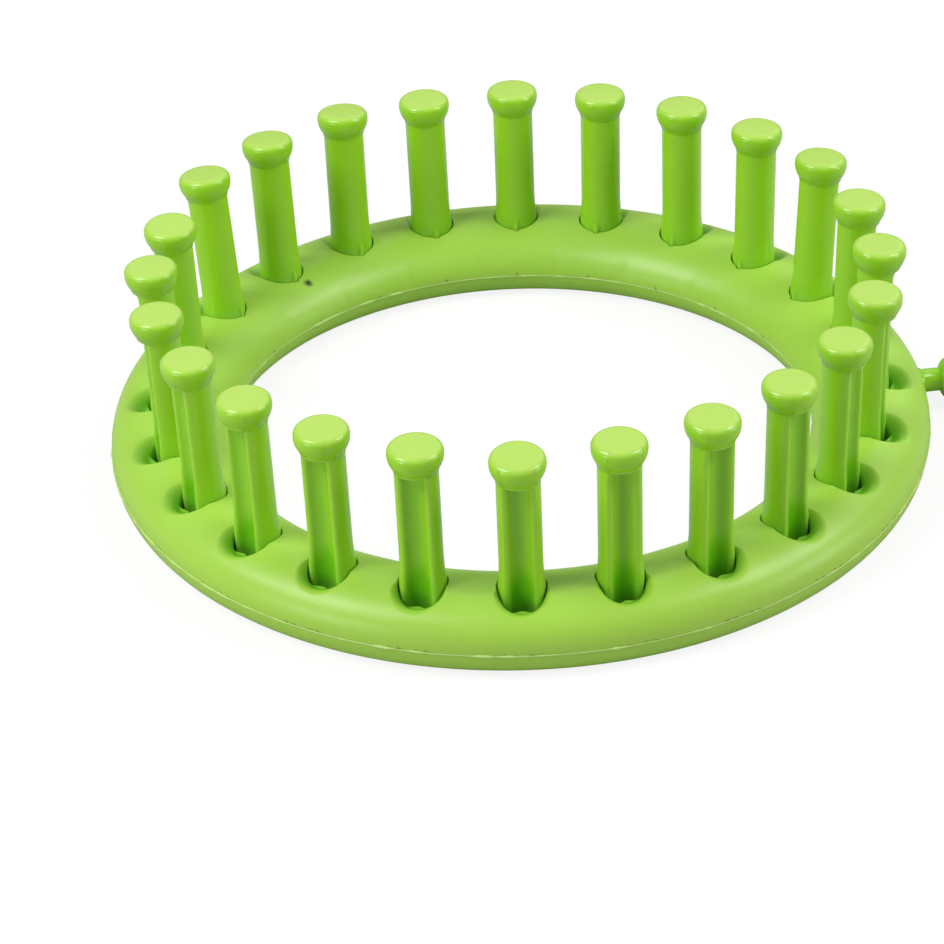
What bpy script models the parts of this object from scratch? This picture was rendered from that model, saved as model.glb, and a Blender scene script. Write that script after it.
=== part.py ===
"""Round knitting loom: a hollow two-shell ring, grooved pegs keyed into it and an anchor peg in its side.

All lengths are in metres. +Z is up, the loom stands on Z = 0 and the anchor peg points along +X.
"""
import math

import bmesh
import bpy
from mathutils import Matrix

# How many pegs, and how finely each round form is faceted
PEG_COUNT = 24
RING_FACETS_PER_PEG = 3
DECK_STEPS = 5
HOLLOW_STEPS = 2
CORNER_STEPS = 3
CHANNEL_STEPS = 2
PEG_FACETS = 14
CROWN_STEPS = 2
BOWL_STEPS = 2
GROOVE_FACETS = 10
SOCKET_FACETS = 12
BOSS_FACETS = 8
SCOOP_FACETS = 10
SCOOP_RINGS = 4
ANCHOR_FACETS = 16
SMOOTH_ANGLE = math.radians(40)

# Clearances and cutting
FIT_GAP = 0.0003
OVERRUN = 0.0010
MERGE = 0.000001

# The ring's section
RING_OUTER_RADIUS = 0.0694
RING_WIDTH = 0.0199
RING_HEIGHT = 0.0111
SEAM_HEIGHT = 0.0042
OUTER_DRAW_IN = 0.0029
INNER_DRAW_IN = 0.0035
PEG_OFFSET = 0.0003
WALL = 0.0020
DECK_THICKNESS = 0.0026
TONGUE_HEIGHT = 0.0010
TONGUE_THICKNESS = 0.00085
OUTER_FULLNESS = 2.36
INNER_FULLNESS = 1.85
CORNER_FULLNESS = 2.0

# A peg, upwards and downwards from the top of the ring
PEG_HEIGHT = 0.0255
PEG_LEAN = math.radians(1.62)
HEAD_RADIUS = 0.0045
HEAD_TOP_RADIUS = 0.0038
HEAD_DOME = 0.0002
HEAD_RIM_DEPTH = 0.0016
BOWL_LENGTH = 0.0034
BOWL_FULLNESS = 1.35
SHAFT_RADIUS = 0.00345
FLARE_HEIGHT = 0.0036
FOOT_RADIUS = 0.0038
TAIL_TAPER = 0.0002
GROOVE_WIDTH = 0.0050
GROOVE_DEPTH = 0.0020
GROOVE_TOP_DEPTH = 0.0044

# The key on the side of the peg that faces the middle of the ring
KEY_WIDTH = 0.0006
KEY_STAND = 0.00025
KEY_HEIGHT = 0.0020

# The socket under each peg, and the scoop in front of it
BOSS_WALL = 0.0014
BOSS_FLOOR_GAP = 0.0012
SCOOP_SETBACK = 0.0028
SCOOP_REACH = 0.0042
SCOOP_HALF_WIDTH = 0.0042
SCOOP_DEPTH = 0.0024

# The anchor peg
ANCHOR_RADIUS = 0.0020
ANCHOR_FREE_LENGTH = 0.0035
ANCHOR_HEAD_RADIUS = 0.0036
ANCHOR_HEAD_TOP_RADIUS = 0.0026
ANCHOR_HEAD_LENGTH = 0.0036
ANCHOR_BOWL_LENGTH = 0.0014
ANCHOR_RIM_LENGTH = 0.0010
ANCHOR_FOOT_WIDTH = 0.0076
ANCHOR_FOOT_HEIGHT = 0.0030
ANCHOR_FOOT_THICKNESS = 0.0018
ANCHOR_FOOT_GAP = 0.0007

# Sizes that follow from the ones above
RING_INNER_RADIUS = RING_OUTER_RADIUS - RING_WIDTH
PEG_CIRCLE_RADIUS = RING_OUTER_RADIUS - RING_WIDTH / 2 + PEG_OFFSET
UPPER_RIM = SEAM_HEIGHT + FIT_GAP / 2
LOWER_RIM = SEAM_HEIGHT - FIT_GAP / 2
ANCHOR_REACH = ANCHOR_FREE_LENGTH + ANCHOR_HEAD_LENGTH
RING_AXIS_X = -ANCHOR_REACH / 2
TAIL_LENGTH = RING_HEIGHT - WALL - FIT_GAP - FOOT_RADIUS * math.sin(PEG_LEAN)
SOCKET_RADIUS = FOOT_RADIUS + FIT_GAP
BOSS_RADIUS = SOCKET_RADIUS + BOSS_WALL
BOSS_LENGTH = RING_HEIGHT - WALL - BOSS_FLOOR_GAP

# Finishes: colour and roughness
RING_GREEN = ((0.34, 0.63, 0.085, 1.0), 0.42)
PEG_GREEN = ((0.21, 0.53, 0.022, 1.0), 0.26)


def clear_scene():
    """Start from nothing."""
    for item in list(bpy.data.objects):
        bpy.data.objects.remove(item, do_unlink=True)


def new_collection(name):
    """A collection of that name in the scene."""
    collection = bpy.data.collections.new(name)
    bpy.context.scene.collection.children.link(collection)
    return collection


def plastic(name, finish):
    """A moulded plastic of one colour and roughness."""
    colour, roughness = finish
    material = bpy.data.materials.new(name)
    material.use_nodes = True
    shader = material.node_tree.nodes["Principled BSDF"]
    shader.inputs["Base Color"].default_value = colour
    shader.inputs["Roughness"].default_value = roughness
    shader.inputs["Metallic"].default_value = 0.0
    material.diffuse_color = colour
    return material


def add_object(name, mesh, collection):
    """An object that shows a mesh."""
    item = bpy.data.objects.new(name, mesh)
    collection.objects.link(item)
    return item


def as_cutter(item):
    """Show an object as the wire outline of a tool."""
    item.hide_render = True
    item.display_type = "WIRE"
    return item


def quarter(radius, height, reach, rise, fullness, steps):
    """Points of a rounded corner, from its side to its top."""
    points = []
    for step in range(steps + 1):
        turn = math.pi / 2 * step / steps
        side = max(math.cos(turn), 0.0) ** (2 / fullness)
        up = math.sin(turn) ** (2 / fullness)
        points.append((radius + reach * side, height + rise * up))
    return points


def turned(name, profile, closed, steps, collection):
    """A profile, given as radius and height down its outer side, turned about Z."""
    mesh = bpy.data.meshes.new(name)
    corners = [(radius, 0, height) for radius, height in profile]
    edges = [(index, index + 1) for index in range(len(corners) - 1)]
    if closed:
        edges.append((len(corners) - 1, 0))
    mesh.from_pydata(corners, edges, [])
    item = add_object(name, mesh, collection)
    screw = item.modifiers.new("turn", "SCREW")
    screw.axis = "Z"
    screw.angle = 2 * math.pi
    screw.steps = steps
    screw.render_steps = steps
    screw.use_merge_vertices = True
    screw.merge_threshold = MERGE
    return item


def cylinder(name, radius, top, bottom, facets, collection):
    """A cylinder about Z, with a corner on +X."""
    shape = bmesh.new()
    place = Matrix.Translation((0, 0, (top + bottom) / 2))
    bmesh.ops.create_cone(shape, cap_ends=True, segments=facets, radius1=radius, radius2=radius,
                          depth=top - bottom, matrix=place)
    return object_from(shape, name, collection)


def block(name, centre, size, collection):
    """A box with a given centre and size."""
    shape = bmesh.new()
    place = Matrix.Translation(centre) @ Matrix.Diagonal((*size, 1))
    bmesh.ops.create_cube(shape, size=1, matrix=place)
    return object_from(shape, name, collection)


def ellipsoid(name, centre, half_sizes, collection):
    """A ball stretched to three half sizes."""
    shape = bmesh.new()
    place = Matrix.Translation(centre) @ Matrix.Diagonal((*half_sizes, 1))
    bmesh.ops.create_uvsphere(shape, u_segments=SCOOP_FACETS, v_segments=SCOOP_RINGS, radius=1, matrix=place)
    return object_from(shape, name, collection)


def object_from(shape, name, collection):
    """Turn a finished bmesh into an object."""
    mesh = bpy.data.meshes.new(name)
    shape.to_mesh(mesh)
    shape.free()
    return add_object(name, mesh, collection)


def combine(item, operation, tool):
    """Cut an object with a tool, or join the tool to it."""
    boolean = item.modifiers.new(tool.name, "BOOLEAN")
    boolean.operation = operation
    boolean.solver = "EXACT"
    boolean.object = tool
    as_cutter(tool)


def finished_mesh(item):
    """The mesh that an object's modifiers give, shaded smooth between its sharp edges."""
    bpy.context.view_layer.update()
    depsgraph = bpy.context.evaluated_depsgraph_get()
    mesh = bpy.data.meshes.new_from_object(item.evaluated_get(depsgraph))
    mesh.name = item.name
    mesh.shade_smooth()
    mesh.set_sharp_from_angle(angle=SMOOTH_ANGLE)
    return mesh


def settle(item):
    """Put an object's modifiers into its mesh."""
    mesh = finished_mesh(item)
    item.modifiers.clear()
    item.data = mesh


def peg_angle(number):
    """The angle of a peg round the ring; the anchor peg lies midway between the first and the last."""
    return 2 * math.pi * (number + 0.5) / PEG_COUNT


def peg_place(number):
    """Where a peg stands on the top of the ring, turned and leaning outwards."""
    angle = peg_angle(number)
    place = (PEG_CIRCLE_RADIUS * math.cos(angle), PEG_CIRCLE_RADIUS * math.sin(angle), RING_HEIGHT)
    return place, (0, PEG_LEAN, angle)


def round_the_ring(name, pattern, collection):
    """One tool that holds a copy of a pattern at every peg."""
    mesh = finished_mesh(pattern)
    shape = bmesh.new()
    for number in range(PEG_COUNT):
        place, (_, lean, angle) = peg_place(number)
        turn = Matrix.Rotation(angle, 4, "Z") @ Matrix.Rotation(lean, 4, "Y")
        copy = mesh.copy()
        copy.transform(Matrix.Translation(place) @ turn)
        shape.from_mesh(copy)
        bpy.data.meshes.remove(copy)
    as_cutter(pattern)
    return object_from(shape, name, collection)


def upper_profile():
    """The section of the upper shell: the domed deck, its hollow, and a rebate round each rim."""
    outer_half = RING_OUTER_RADIUS - PEG_CIRCLE_RADIUS
    inner_half = PEG_CIRCLE_RADIUS - RING_INNER_RADIUS
    rise = RING_HEIGHT - UPPER_RIM
    rebate = UPPER_RIM + TONGUE_HEIGHT
    hollow = RING_HEIGHT - DECK_THICKNESS - rebate
    lip = WALL - TONGUE_THICKNESS - FIT_GAP
    inside = quarter(PEG_CIRCLE_RADIUS, UPPER_RIM, -inner_half, rise, INNER_FULLNESS, DECK_STEPS)
    outside = quarter(PEG_CIRCLE_RADIUS, UPPER_RIM, outer_half, rise, OUTER_FULLNESS, DECK_STEPS)
    hollow_out = quarter(PEG_CIRCLE_RADIUS, rebate, outer_half - WALL, hollow, OUTER_FULLNESS, HOLLOW_STEPS)
    hollow_in = quarter(PEG_CIRCLE_RADIUS, rebate, WALL - inner_half, hollow, INNER_FULLNESS, HOLLOW_STEPS)
    outer_lip = RING_OUTER_RADIUS - lip
    inner_lip = RING_INNER_RADIUS + lip
    profile = inside + outside[-2::-1]
    profile += [(outer_lip, UPPER_RIM), (outer_lip, rebate)]
    profile += hollow_out + hollow_in[-2::-1]
    profile += [(inner_lip, rebate), (inner_lip, UPPER_RIM)]
    return profile


def lower_profile():
    """The section of the lower shell: the flat base, its drawn-in sides, and a tongue round each rim."""
    tongue = LOWER_RIM + TONGUE_HEIGHT
    flat_out = RING_OUTER_RADIUS - OUTER_DRAW_IN
    flat_in = RING_INNER_RADIUS + INNER_DRAW_IN
    channel_drop = WALL - LOWER_RIM
    channel_outwards = OUTER_DRAW_IN - WALL
    channel_inwards = WALL - INNER_DRAW_IN
    wall_out = RING_OUTER_RADIUS - WALL
    wall_in = RING_INNER_RADIUS + WALL
    outside = quarter(flat_out, LOWER_RIM, OUTER_DRAW_IN, -LOWER_RIM, CORNER_FULLNESS, CORNER_STEPS)
    inside = quarter(flat_in, LOWER_RIM, -INNER_DRAW_IN, -LOWER_RIM, CORNER_FULLNESS, CORNER_STEPS)
    channel_in = quarter(flat_in, LOWER_RIM, channel_inwards, channel_drop, CORNER_FULLNESS, CHANNEL_STEPS)
    channel_out = quarter(flat_out, LOWER_RIM, channel_outwards, channel_drop, CORNER_FULLNESS, CHANNEL_STEPS)
    tongue_in = wall_in - TONGUE_THICKNESS
    tongue_out = wall_out + TONGUE_THICKNESS
    profile = outside + inside[::-1]
    profile += [(tongue_in, LOWER_RIM), (tongue_in, tongue), (wall_in, tongue)]
    profile += channel_in[1:] + channel_out[:0:-1]
    profile += [(wall_out, tongue), (tongue_out, tongue), (tongue_out, LOWER_RIM)]
    return profile


def groove_circle():
    """The radius of the groove's round floor, and how far its centre lies from the peg's axis."""
    half = GROOVE_WIDTH / 2
    mouth = math.sqrt(SHAFT_RADIUS ** 2 - half ** 2)
    floor = SHAFT_RADIUS - GROOVE_DEPTH
    radius = ((mouth - floor) ** 2 + half ** 2) / (2 * (mouth - floor))
    return radius, floor + radius


def groove_tool(name, shrink, top, collection):
    """A rod that fills the groove from a height down past the peg's tail."""
    radius, distance = groove_circle()
    bottom = -TAIL_LENGTH - OVERRUN
    rod = cylinder(name, radius - shrink, top, bottom, GROOVE_FACETS, collection)
    rod.data.transform(Matrix.Translation((distance, 0, 0)))
    return rod


def key_block(name, gap, top, collection):
    """The key on the peg's inner side, or with a gap the keyway that takes it."""
    outer = FOOT_RADIUS + KEY_STAND + gap
    middle = (-outer / 2, 0, (top - TAIL_LENGTH) / 2)
    size = (outer, KEY_WIDTH + 2 * gap, top + TAIL_LENGTH)
    return block(name, middle, size, collection)


def peg_profile():
    """The turned form of a peg: domed head, bowl under it, shaft, flared foot and tail."""
    rim = PEG_HEIGHT - HEAD_RIM_DEPTH
    shoulder_reach = HEAD_RADIUS - HEAD_TOP_RADIUS
    shoulder_rise = HEAD_RIM_DEPTH - HEAD_DOME
    crown = quarter(HEAD_TOP_RADIUS, rim, shoulder_reach, shoulder_rise, CORNER_FULLNESS, CROWN_STEPS)
    bowl = quarter(SHAFT_RADIUS, rim, HEAD_RADIUS - SHAFT_RADIUS, -BOWL_LENGTH, BOWL_FULLNESS, BOWL_STEPS)
    profile = [(0, PEG_HEIGHT)] + crown[::-1] + bowl[1:]
    profile += [(SHAFT_RADIUS, FLARE_HEIGHT), (FOOT_RADIUS, 0)]
    profile += [(FOOT_RADIUS - TAIL_TAPER, -TAIL_LENGTH), (0, -TAIL_LENGTH)]
    return profile


def make_pegs(parent, material, parts, tools):
    """Every peg, with the hook groove facing outwards and the key facing the middle."""
    pattern = turned("peg_pattern", peg_profile(), False, PEG_FACETS, tools)
    key = key_block("key", 0, KEY_HEIGHT, tools)
    combine(pattern, "UNION", key)
    groove = groove_tool("groove", 0, PEG_HEIGHT - GROOVE_TOP_DEPTH, tools)
    combine(pattern, "DIFFERENCE", groove)
    mesh = finished_mesh(pattern)
    mesh.name = "peg"
    mesh.materials.append(material)
    as_cutter(pattern)
    for number in range(PEG_COUNT):
        peg = add_object(f"peg_{number + 1:02d}", mesh, parts)
        peg.parent = parent
        peg.location, peg.rotation_euler = peg_place(number)


def make_boss_tool(tools):
    """The tubes under the deck that hold the pegs upright."""
    boss = cylinder("boss", BOSS_RADIUS, -DECK_THICKNESS / 2, -BOSS_LENGTH, BOSS_FACETS, tools)
    return round_the_ring("bosses", boss, tools)


def make_socket_tool(tools):
    """The keyed sockets: each keeps a tongue of the ring that fills the peg's groove."""
    socket = cylinder("socket", SOCKET_RADIUS, OVERRUN, -TAIL_LENGTH, SOCKET_FACETS, tools)
    keyway = key_block("keyway", FIT_GAP, OVERRUN, tools)
    combine(socket, "UNION", keyway)
    tongue = groove_tool("socket_tongue", FIT_GAP, 2 * OVERRUN, tools)
    combine(socket, "DIFFERENCE", tongue)
    return round_the_ring("sockets", socket, tools)


def make_scoop_tool(tools):
    """The hollows in the deck where the tip of a hook goes down into the groove."""
    half_sizes = (SCOOP_REACH, SCOOP_HALF_WIDTH, SCOOP_DEPTH)
    scoop = ellipsoid("scoop", (SCOOP_SETBACK, 0, 0), half_sizes, tools)
    return round_the_ring("scoops", scoop, tools)


def make_anchor_hole_tool(tools):
    """The hole for the anchor peg, half in each shell."""
    length = WALL + 2 * OVERRUN
    hole = cylinder("anchor_hole", ANCHOR_RADIUS + FIT_GAP, length / 2, -length / 2, ANCHOR_FACETS, tools)
    hole.rotation_euler = (0, math.pi / 2, 0)
    hole.location = (RING_OUTER_RADIUS - WALL / 2, 0, SEAM_HEIGHT)
    return hole


def make_shells(parent, material, parts, tools):
    """The two welded halves of the ring."""
    facets = PEG_COUNT * RING_FACETS_PER_PEG
    hole = make_anchor_hole_tool(tools)
    upper = turned("ring_upper_shell", upper_profile(), True, facets, parts)
    combine(upper, "UNION", make_boss_tool(tools))
    combine(upper, "DIFFERENCE", make_socket_tool(tools))
    combine(upper, "DIFFERENCE", make_scoop_tool(tools))
    combine(upper, "DIFFERENCE", hole)
    lower = turned("ring_lower_shell", lower_profile(), True, facets, parts)
    combine(lower, "DIFFERENCE", hole)
    for shell in (upper, lower):
        settle(shell)
        shell.data.materials.append(material)
        shell.parent = parent


def anchor_profile():
    """The turned form of the anchor peg, outwards from the side of the ring."""
    tip = ANCHOR_REACH
    shoulder = tip - ANCHOR_RIM_LENGTH
    widest = ANCHOR_FREE_LENGTH + ANCHOR_BOWL_LENGTH
    inner_end = ANCHOR_FOOT_GAP + WALL + ANCHOR_FOOT_THICKNESS
    reach = ANCHOR_HEAD_RADIUS - ANCHOR_HEAD_TOP_RADIUS
    crown = quarter(ANCHOR_HEAD_TOP_RADIUS, shoulder, reach, ANCHOR_RIM_LENGTH, CORNER_FULLNESS, CROWN_STEPS)
    profile = [(0, tip)] + crown[::-1]
    profile += [(ANCHOR_HEAD_RADIUS, widest), (ANCHOR_RADIUS, ANCHOR_FREE_LENGTH)]
    profile += [(ANCHOR_RADIUS, -inner_end), (0, -inner_end)]
    return profile


def make_anchor(parent, material, parts, tools):
    """The anchor peg: its cross-bar foot is trapped between the shells, behind the outer wall."""
    anchor = turned("anchor_peg", anchor_profile(), False, ANCHOR_FACETS, parts)
    middle = -WALL - ANCHOR_FOOT_GAP - ANCHOR_FOOT_THICKNESS / 2
    size = (ANCHOR_FOOT_HEIGHT, ANCHOR_FOOT_WIDTH, ANCHOR_FOOT_THICKNESS)
    foot = block("anchor_foot", (0, 0, middle), size, tools)
    combine(anchor, "UNION", foot)
    settle(anchor)
    anchor.data.materials.append(material)
    anchor.parent = parent
    anchor.location = (RING_OUTER_RADIUS, 0, SEAM_HEIGHT)
    anchor.rotation_euler = (0, math.pi / 2, 0)


def main():
    """Build the loom."""
    clear_scene()
    parts = new_collection("knitting_loom")
    tools = new_collection("cutters")
    ring_plastic = plastic("ring_plastic", RING_GREEN)
    peg_plastic = plastic("peg_plastic", PEG_GREEN)
    ring_axis = bpy.data.objects.new("ring_axis", None)
    parts.objects.link(ring_axis)
    make_shells(ring_axis, ring_plastic, parts, tools)
    make_pegs(ring_axis, peg_plastic, parts, tools)
    make_anchor(ring_axis, peg_plastic, parts, tools)
    ring_axis.location = (RING_AXIS_X, 0, 0)
    bpy.context.view_layer.update()


main()
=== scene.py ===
"""The looks of a round knitting loom: its fine forms and plastic finishes, laid over the packed frame.

Lengths are in metres, in the frame of the packed model: +Z is up and the anchor peg points along +X.
"""
import math

import bmesh
import bpy
import numpy as np
from mathutils import Euler, Matrix, Vector, noise


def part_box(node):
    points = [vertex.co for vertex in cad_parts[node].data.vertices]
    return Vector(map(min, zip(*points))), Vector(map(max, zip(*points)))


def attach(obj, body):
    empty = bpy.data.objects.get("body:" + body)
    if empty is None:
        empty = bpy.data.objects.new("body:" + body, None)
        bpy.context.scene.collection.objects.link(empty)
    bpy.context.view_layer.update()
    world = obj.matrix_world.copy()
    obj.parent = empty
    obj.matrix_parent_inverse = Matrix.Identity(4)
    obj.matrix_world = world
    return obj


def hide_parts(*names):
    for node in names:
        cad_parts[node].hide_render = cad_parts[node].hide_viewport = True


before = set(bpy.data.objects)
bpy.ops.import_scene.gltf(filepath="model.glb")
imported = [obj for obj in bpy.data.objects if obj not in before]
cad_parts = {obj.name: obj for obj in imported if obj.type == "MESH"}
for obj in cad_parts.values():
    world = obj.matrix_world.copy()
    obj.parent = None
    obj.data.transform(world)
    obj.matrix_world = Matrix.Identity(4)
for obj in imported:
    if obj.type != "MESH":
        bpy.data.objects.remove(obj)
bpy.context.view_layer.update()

bl_info = {
    "name": "Round knitting loom",
    "version": (1, 0, 0),
    "blender": (4, 5, 0),
    "location": "3D View > Sidebar > Loom",
    "description": "Builds the visible forms and finishes of a round knitting loom",
    "category": "Add Mesh",
}

# What the packed frame gives
DECK_LOW, DECK_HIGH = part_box("ring_upper_shell")
RING_AXIS_X = (DECK_LOW.x + DECK_HIGH.x) / 2
RING_OUTER_RADIUS = (DECK_HIGH.x - DECK_LOW.x) / 2
RING_HEIGHT = DECK_HIGH.z
PEG_NODES = sorted(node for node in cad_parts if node.startswith("peg_"))
PITCH_ANGLE = 2 * math.pi / len(PEG_NODES)
ANCHOR_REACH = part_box("anchor_peg")[1].x - DECK_HIGH.x

# How finely each form is drawn
SECTION_STEPS = 60
RIM_SEARCHES = 24
FAR_STEPS = 9
SHELL_STEPS = 288
SEAM_STEPS = 1080
SEAM_SIDES = 8
GROOVE_STEPS = 8
RIB_STEPS = 5
BACK_STEPS = 14
FLARE_STEPS = 8
LEDGE_ROWS = (1.0, 0.7, 0.45, 0.25, 0.12, 0.06, 0.03, 0.01)
BOWL_STEPS = 9
EDGE_STEPS = 10
TOP_STEPS = 5
CROWN_STEPS = 14
ANCHOR_STEPS = 64

# Points closer together than this are one; edges sharper than this stay sharp
MERGE = 0.000001
SHARP_ANGLE = math.radians(50)

# Across half of the key, towards its middle: shares of its half width, and of how far it stands out
KEY_SECTION = ((1.9, 0.0), (1.45, 0.3), (1.0, 0.75), (0.5, 0.95), (0.0, 1.0))

# Rays from a socket's axis over half a turn, closest at the tongue and at the keyway: up to degrees, rays
RAY_ZONES = ((40, 14), (76, 14), (166, 18), (177, 8), (180, 2))

# Loops round a socket: shares of the way from its edge to the scoop's rim, distances beyond the rim, and
# how close to the socket's edge the rim may come
RIM_SHARES = (0.0, 0.05, 0.12, 0.22, 0.36, 0.5, 0.64, 0.76, 0.86, 0.94, 1.0)
RIM_MARGINS = (0.00006, 0.00014, 0.00025, 0.0004, 0.0006, 0.0009, 0.0013, 0.0019)
NEAREST_RIM = 0.00030

# Pegs that stand off the common lean: further outwards, and round the ring, in degrees
LOOSE_PEGS = {
    "peg_02": (2.8, 1.3),
    "peg_04": (-1.0, 0.0),
    "peg_05": (-0.9, -0.4),
    "peg_07": (-1.3, 0.6),
    "peg_08": (3.2, -1.9),
    "peg_09": (3.3, -2.0),
    "peg_10": (4.4, -2.4),
    "peg_11": (-1.3, 3.1),
    "peg_18": (3.4, 0.0),
}

# How square a straight corner and a round one are, and the two ends of the anchor peg's corners
STRAIGHT, ROUND = 1, 2
ANCHOR_BOWL_ENDS = (1.2, ROUND)
ANCHOR_CROWN_ENDS = (5.0, 3.0)

# Beads in the seam: how much finer and fainter the second noise is, and the gain over both
FINE_BEADS = 3
FINE_BEAD_SHARE = 0.5
BEAD_GAIN = 2

# The painted shade in the hollows: the name of its mark, how fast it fades on the tongue, and its shares in
# the groove, in the groove near the foot, and on the shaft near the foot
PAINTED_SHADE = "painted_shade"
TONGUE_PALING = 4
GROOVE_SHARE = 0.4
FOOT_SHARE = 0.8
SHAFT_FOOT_SHARE = 0.3

# Each plastic: its gloss, how strong the painted highlight on its convex edges is, how many clouds of
# pigment a metre holds, and its colour, denser colour, roughness and grain among the finishes; the flash's
# two colours are both a painted highlight
PLASTICS = {
    "satin_lime_plastic": (
        0.52, 0.0, 55.0, "ring_colour", "ring_deep_colour", "ring_roughness", "ring_grain"),
    "glossy_green_plastic": (
        0.45, 0.3, 90.0, "peg_colour", "peg_deep_colour", "peg_roughness", "peg_grain"),
    "flash_highlight_plastic": (
        0.3, 0.0, 55.0, "flash_highlight_colour", "edge_highlight_colour", "ring_roughness", "ring_grain"),
}

# What they share; light reaches deeper in some colours than in others
PIGMENT_AMOUNT = 0.35
# The next two set how sharp the painted highlight on convex edges is, and how strong the painted shade in
# the hollows is
EDGE_SHARPNESS = 0.08
PAINTED_SHADE_AMOUNT = 0.75
GRAIN_SCALE = 1500.0
ROUGHNESS_SPREAD = 0.03
BUMP_STRENGTH = 0.5
PLASTIC_IOR = 1.47
LIGHT_REACH = (0.5, 1.0, 0.15)

# The pigment's streaks: how much finer than its clouds, and the clouds' share in the mix of both
STREAK_FINENESS = 9.0
CLOUD_SHARE = 0.75

# The skin's waves: their scale against that of its grain, and the height of the grain against theirs
WAVE_SCALE = 0.12
GRAIN_SHARE = 0.35

# The speck in the deck: the scale of its ragged edge, then against its size how ragged it is, and where it
# starts and ends to fade
SPECK_RAG_SCALE = 1800.0
SPECK_RAG = 0.5
SPECK_CORE = 0.5
SPECK_RIM = 1.2

# Pointiness of a flat face, and where the painted highlight on convex edges starts
FLAT = 0.5
EDGE_START = 0.51

# Sockets of a Mix node that mixes colours
MIX_FIRST, MIX_SECOND, MIX_RESULT = 6, 7, 2

# The square sensor's width in millimetres
SENSOR_WIDTH = 36

# Softboxes: bearing from the camera's side, anticlockwise from above, and height over the floor, both in
# degrees; width in metres; power in watts
SOFTBOXES = {
    "left_softbox": (-72, 53, 0.40, 3.9),
    "left_low_fill": (-52, 12, 0.32, 1.4),
    "right_softbox": (88, 48, 0.36, 2.6),
    "right_low_fill": (78, 12, 0.32, 1.3),
    "right_back_softbox": (140, 38, 0.50, 0.6),
    "back_softbox": (180, 52, 0.80, 0.55),
}


def length(label, metres, description):
    """A length that a user can change."""
    return bpy.props.FloatProperty(name=label, description=description, default=metres, unit="LENGTH",
                                   precision=5)


def number(label, value, description):
    """A plain number that a user can change."""
    return bpy.props.FloatProperty(name=label, description=description, default=value, precision=4)


def share(label, value, description):
    """A share between nothing and all."""
    return bpy.props.FloatProperty(name=label, description=description, default=value, min=0, max=1,
                                   subtype="FACTOR")


def angle(label, degrees, description):
    """An angle that a user can change."""
    return bpy.props.FloatProperty(name=label, description=description, default=math.radians(degrees),
                                   unit="ROTATION")


def colour(label, value, description):
    """A colour that a user can change."""
    return bpy.props.FloatVectorProperty(name=label, description=description, default=value, min=0, max=1,
                                         subtype="COLOR")


def position(label, value, description):
    """A place that a user can change."""
    return bpy.props.FloatVectorProperty(name=label, description=description, default=value,
                                         subtype="TRANSLATION", unit="LENGTH")


class LoomRingSizes(bpy.types.PropertyGroup):
    """Sizes of the ring's two shells."""

    outer_radius: length("Outer radius", RING_OUTER_RADIUS, "From the ring's axis to its outer side")
    inner_radius: length("Inner radius", 0.0495, "From the ring's axis to its inner side")
    height: length("Height", RING_HEIGHT, "From the flat underside to the top of the deck")
    seam_height: length("Seam height", 0.0042, "Where the two shells meet")
    seam_gap: length("Seam gap", 0.0003, "Between the two shells")
    outer_draw_in: length("Outer draw-in", 0.0029, "How far the outer side curves in under the seam")
    inner_draw_in: length("Inner draw-in", 0.0035, "How far the inner side curves in under the seam")
    outer_fullness: number("Outer fullness", 2.36, "How square the deck's outer shoulder is")
    inner_fullness: number("Inner fullness", 1.85, "How square the deck's inner shoulder is")
    base_fullness: number("Base fullness", 2.0, "How square the lower edges are")


class LoomSeamSizes(bpy.types.PropertyGroup):
    """Sizes of the flash that stands out of the seam."""

    thinnest: length("Thinnest", 0.00013, "Half the flash's height where it is thin")
    thickest: length("Thickest", 0.00028, "Half the flash's height at a bead")
    sunk: length("Sunk", 0.00005, "How far the middle of the flash lies inside the shells' sides")
    bead_spacing: length("Bead spacing", 0.0035, "Usual distance between beads")


class LoomSocketSizes(bpy.types.PropertyGroup):
    """Sizes of the keyed sockets and of the scoops in front of them."""

    clearance: length("Clearance", 0.0002, "Gap between a peg and its socket")
    depth: length("Depth", 0.0056, "Visible depth of a socket under the top of the deck")
    lip: length("Lip", 0.00022, "Rounding of the socket's edge")
    tongue_turn: angle("Tongue", 36, "Half the angle that the tongue in the groove takes up")
    tongue_stand: length("Tongue stand", 0.0012, "How far the tongue stands into the peg's groove")
    scoop_setback: length("Scoop setback", 0.0028,
                          "From the peg's axis outwards to the middle of the scoop")
    scoop_radius: length("Scoop radius", 0.0045, "Half the scoop's width")
    scoop_depth: length("Scoop depth", 0.0027, "How deep the scoop is at the socket's edge")
    scoop_turn: angle("Scoop opening", 78, "How far round the socket the scoop reaches to each side")
    scoop_fullness: number("Scoop fullness", 2.6, "How late the scoop gets shallower towards its sides")
    scoop_side: number("Scoop side", 1.15, "How softly the scoop ends at its sides")
    scoop_softness: number("Scoop softness", 1.6, "How softly the scoop's rim runs into the deck")


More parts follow.
